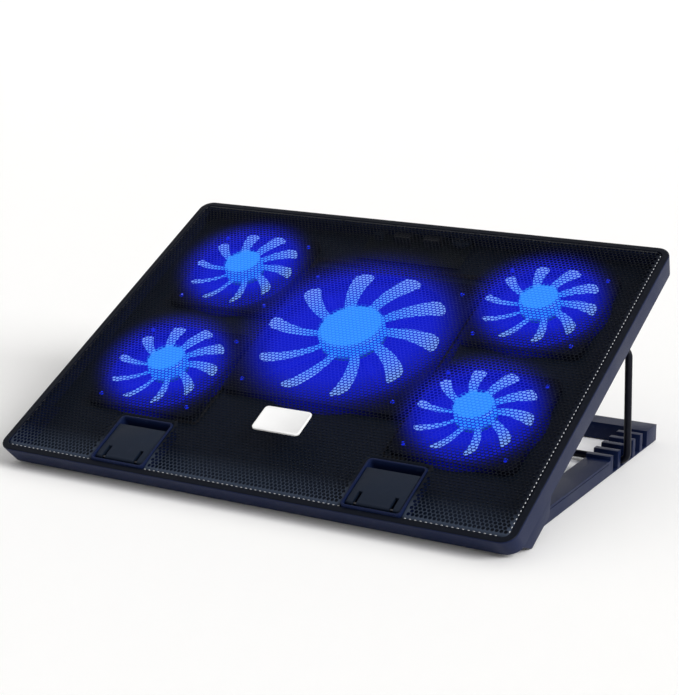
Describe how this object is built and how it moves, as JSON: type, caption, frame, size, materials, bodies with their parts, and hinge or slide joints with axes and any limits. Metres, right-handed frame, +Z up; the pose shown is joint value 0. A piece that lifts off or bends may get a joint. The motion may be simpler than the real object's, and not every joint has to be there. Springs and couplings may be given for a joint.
{
  "type": "laptop cooling pad",
  "caption": "Laptop cooling pad: perforated steel top over slim fans in a moulded casing, flip-up stops, notched tilting base and wire prop.",
  "frame": {"origin": "centre of the bounding box at the ground under the feet", "axes": "+X along the front edge to the right, +Y to the rear, +Z up"},
  "size_m": [0.38, 0.2724, 0.1418],
  "materials": {
    "navy_plastic": "fine moulded grain, dark navy",
    "dark_plastic": "fine moulded grain, near-black blue",
    "perforated_steel": "black powder-coated perforated sheet",
    "blank_plate": "smooth white, blank",
    "lit_blade": "translucent, lit blue",
    "fan_plastic": "moulded black",
    "motor_winding": "enamelled copper winding",
    "bright_steel": "plated",
    "black_wire": "black coated steel wire",
    "foot_rubber": "matt",
    "circuit_board": "black solder mask",
    "lead_jacket": "smooth jacket"
  },
  "bodies": {
    "base": {"base_frame": "navy_plastic", "hinge_pin_left": "bright_steel", "hinge_pin_right": "bright_steel", "foot_front_left": "foot_rubber", "foot_front_right": "foot_rubber", "foot_rear_left": "foot_rubber", "foot_rear_right": "foot_rubber"},
    "pad": {"top_cover": "navy_plastic", "bottom_cover": "dark_plastic", "mesh_panel": "perforated_steel", "label_plate": "blank_plate", "fan_housing_centre": "fan_plastic", "fan_stator_centre": "motor_winding", "fan_housing_front_left": "fan_plastic", "fan_stator_front_left": "motor_winding", "fan_housing_rear_left": "fan_plastic", "fan_stator_rear_left": "motor_winding", "fan_housing_front_right": "fan_plastic", "fan_stator_front_right": "motor_winding", "fan_housing_rear_right": "fan_plastic", "fan_stator_rear_right": "motor_winding", "cover_screw_1": "bright_steel", "cover_screw_2": "bright_steel", "cover_screw_3": "bright_steel", "cover_screw_4": "bright_steel", "cover_screw_5": "bright_steel", "cover_screw_6": "bright_steel", "stop_pin_left": "bright_steel", "bail_socket_left": "dark_plastic", "usb_socket_left": "bright_steel", "stop_pin_right": "bright_steel", "bail_socket_right": "dark_plastic", "usb_socket_right": "bright_steel", "control_board": "circuit_board", "dial_post": "bright_steel", "button_switch": "dark_plastic", "fan_lead_centre": "lead_jacket", "fan_lead_front_left": "lead_jacket", "fan_lead_rear_left": "lead_jacket", "fan_lead_front_right": "lead_jacket", "fan_lead_rear_right": "lead_jacket"},
    "bail": {"bail": "black_wire"},
    "stop_left": {"stop_left": "dark_plastic"},
    "stop_right": {"stop_right": "dark_plastic"},
    "speed_dial": {"speed_dial": "dark_plastic"},
    "power_button": {"power_button": "dark_plastic"},
    "fan_rotor_centre": {"fan_rotor_centre": "lit_blade"},
    "fan_rotor_front_left": {"fan_rotor_front_left": "lit_blade"},
    "fan_rotor_rear_left": {"fan_rotor_rear_left": "lit_blade"},
    "fan_rotor_front_right": {"fan_rotor_front_right": "lit_blade"},
    "fan_rotor_rear_right": {"fan_rotor_rear_right": "lit_blade"}
  },
  "joints": [
    {"name": "tilt_hinge", "type": "hinge", "parent": "base", "child": "pad", "pos_m": [0, -0.0986, 0.009], "axis": [1, 0, 0], "range_deg": [-26.2, 0]},
    {"name": "bail_fold", "type": "hinge", "parent": "base", "child": "bail", "pos_m": [0, 0.0702, 0.0044], "axis": [1, 0, 0], "range_deg": [-95, 0]},
    {"name": "stop_left_flip", "type": "hinge", "parent": "pad", "child": "stop_left", "pos_m": [-0.094, -0.12685, 0.01772], "axis": [1, 0, 0], "range_deg": [0, 95]},
    {"name": "stop_right_flip", "type": "hinge", "parent": "pad", "child": "stop_right", "pos_m": [0.094, -0.12685, 0.01772], "axis": [1, 0, 0], "range_deg": [0, 95]},
    {"name": "fan_centre_spin", "type": "hinge", "parent": "pad", "child": "fan_rotor_centre", "pos_m": [0, 0.01659, 0.08295], "axis": [0, -0.4415, 0.8973], "continuous": true},
    {"name": "fan_front_left_spin", "type": "hinge", "parent": "pad", "child": "fan_rotor_front_left", "pos_m": [-0.118, -0.03545, 0.05735], "axis": [0, -0.4415, 0.8973], "continuous": true},
    {"name": "fan_rear_left_spin", "type": "hinge", "parent": "pad", "child": "fan_rotor_rear_left", "pos_m": [-0.118, 0.06549, 0.10701], "axis": [0, -0.4415, 0.8973], "continuous": true},
    {"name": "fan_front_right_spin", "type": "hinge", "parent": "pad", "child": "fan_rotor_front_right", "pos_m": [0.118, -0.03545, 0.05735], "axis": [0, -0.4415, 0.8973], "continuous": true},
    {"name": "fan_rear_right_spin", "type": "hinge", "parent": "pad", "child": "fan_rotor_rear_right", "pos_m": [0.118, 0.06549, 0.10701], "axis": [0, -0.4415, 0.8973], "continuous": true},
    {"name": "speed_dial_turn", "type": "hinge", "parent": "pad", "child": "speed_dial", "pos_m": [0.033, 0.12075, 0.13287], "axis": [0, -0.4415, 0.8973], "range_deg": [0, 270]},
    {"name": "power_button_press", "type": "slide", "parent": "pad", "child": "power_button", "axis": [0, -0.8973, -0.4415], "range_m": [0, 0.0012], "stiffness_N_per_m": 400}
  ],
  "couplings": [
    {"joint": "bail_fold", "follows": "tilt_hinge", "ratio": 3.5447}
  ]
}
